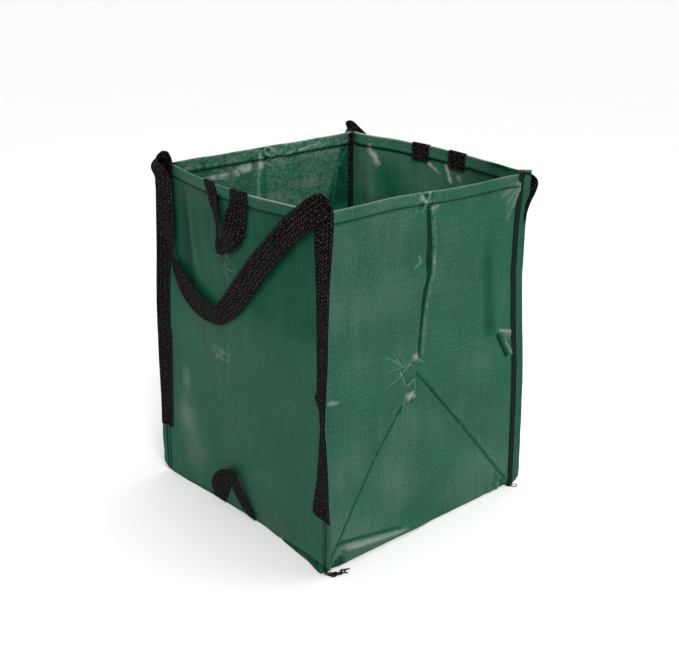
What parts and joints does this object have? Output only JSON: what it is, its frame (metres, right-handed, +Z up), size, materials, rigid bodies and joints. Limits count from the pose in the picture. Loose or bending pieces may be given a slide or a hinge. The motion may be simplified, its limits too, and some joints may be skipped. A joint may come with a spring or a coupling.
{
  "type": "yard waste bag",
  "caption": "Self-standing square garden waste bag of woven cloth, open at the top, with long carry handles, rim loops and base loops of webbing.",
  "frame": {"origin": "on the floor under the middle of the bag", "axes": "+Z up; -Y faces the front side with its handles; +X faces the right gusset"},
  "size_m": [0.5672, 0.5612, 0.7412],
  "materials": {
    "green_cloth": "coated weave with a soft sheen",
    "black_webbing": "ribbed matt webbing",
    "black_thread": "matt thread"
  },
  "bodies": {
    "front_side": {"front_panel": "green_cloth", "front_hem_thread": "black_thread", "front_right_corner_seam": "green_cloth", "front_right_corner_thread": "black_thread", "front_right_corner_webbing": "black_webbing", "front_right_rim_tab": "black_webbing", "front_left_corner_seam": "green_cloth", "front_left_corner_thread": "black_thread", "front_left_corner_webbing": "black_webbing", "front_left_rim_tab": "black_webbing", "bottom_panel": "green_cloth", "front_thread_tail": "black_thread"},
    "back_side": {"back_panel": "green_cloth", "back_hem_thread": "black_thread", "back_right_corner_seam": "green_cloth", "back_right_corner_thread": "black_thread", "back_right_corner_webbing": "black_webbing", "back_right_rim_tab": "black_webbing", "back_left_corner_seam": "green_cloth", "back_left_corner_thread": "black_thread", "back_left_corner_webbing": "black_webbing", "back_left_rim_tab": "black_webbing", "back_thread_tail": "black_thread"},
    "right_gusset_front": {"right_gusset_front_half": "green_cloth", "right_gusset_front_hem_thread": "black_thread"},
    "right_gusset_back": {"right_gusset_back_half": "green_cloth", "right_gusset_back_hem_thread": "black_thread"},
    "left_gusset_front": {"left_gusset_front_half": "green_cloth", "left_gusset_front_hem_thread": "black_thread"},
    "left_gusset_back": {"left_gusset_back_half": "green_cloth", "left_gusset_back_hem_thread": "black_thread"},
    "front_handle": {"front_long_handle": "black_webbing"},
    "front_rim_webbing": {"front_rim_loop": "black_webbing"},
    "front_base_webbing": {"front_base_loop": "black_webbing"},
    "back_handle": {"back_long_handle": "black_webbing"},
    "back_rim_webbing": {"back_rim_loop": "black_webbing"},
    "back_base_webbing": {"back_base_loop": "black_webbing"}
  },
  "joints": [
    {"name": "fold", "type": "hinge", "parent": "front_side", "child": "right_gusset_front", "pos_m": [0.2575, -0.2575, 0], "axis": [-0.0211, 0.0211, 0.9996], "range_deg": [0, 80], "deforming": ["bottom_panel"]},
    {"name": "fold_right_crease", "type": "hinge", "parent": "right_gusset_front", "child": "right_gusset_back", "pos_m": [0.2655, 0, 0], "axis": [-0.0217, 0, 0.9998], "range_deg": [-160, 0]},
    {"name": "fold_back", "type": "hinge", "parent": "right_gusset_back", "child": "back_side", "pos_m": [0.2575, 0.2575, 0], "axis": [-0.0211, -0.0211, 0.9996], "range_deg": [0, 80]},
    {"name": "fold_left_front", "type": "hinge", "parent": "front_side", "child": "left_gusset_front", "pos_m": [-0.2575, -0.2575, 0], "axis": [0.0211, 0.0211, 0.9996], "range_deg": [-80, 0]},
    {"name": "fold_left_crease", "type": "hinge", "parent": "left_gusset_front", "child": "left_gusset_back", "pos_m": [-0.2655, 0, 0], "axis": [0.0217, 0, 0.9998], "range_deg": [0, 160]},
    {"name": "front_handle_swing", "type": "hinge", "parent": "front_side", "child": "front_handle", "pos_m": [0, -0.24892, 0.741], "axis": [-1, 0, 0], "range_deg": [0, 180]},
    {"name": "front_rim_loop_swing", "type": "hinge", "parent": "front_side", "child": "front_rim_webbing", "pos_m": [0.029, -0.2737, 0.6837], "axis": [-1, 0, 0], "range_deg": [0, 150]},
    {"name": "front_base_loop_swing", "type": "hinge", "parent": "front_side", "child": "front_base_webbing", "pos_m": [-0.045, -0.26338, 0.005], "axis": [1, 0, 0], "range_deg": [0, 80]},
    {"name": "back_handle_swing", "type": "hinge", "parent": "back_side", "child": "back_handle", "pos_m": [0, 0.24892, 0.741], "axis": [1, 0, 0], "range_deg": [0, 180]},
    {"name": "back_rim_loop_swing", "type": "hinge", "parent": "back_side", "child": "back_rim_webbing", "pos_m": [-0.029, 0.2737, 0.6837], "axis": [1, 0, 0], "range_deg": [0, 150]},
    {"name": "back_base_loop_swing", "type": "hinge", "parent": "back_side", "child": "back_base_webbing", "pos_m": [0.045, 0.26338, 0.005], "axis": [-1, 0, 0], "range_deg": [0, 80]}
  ],
  "couplings": [
    {"joint": "fold_right_crease", "follows": "fold", "ratio": -2},
    {"joint": "fold_back", "follows": "fold", "ratio": 1},
    {"joint": "fold_left_front", "follows": "fold", "ratio": -1},
    {"joint": "fold_left_crease", "follows": "fold", "ratio": 2}
  ]
}
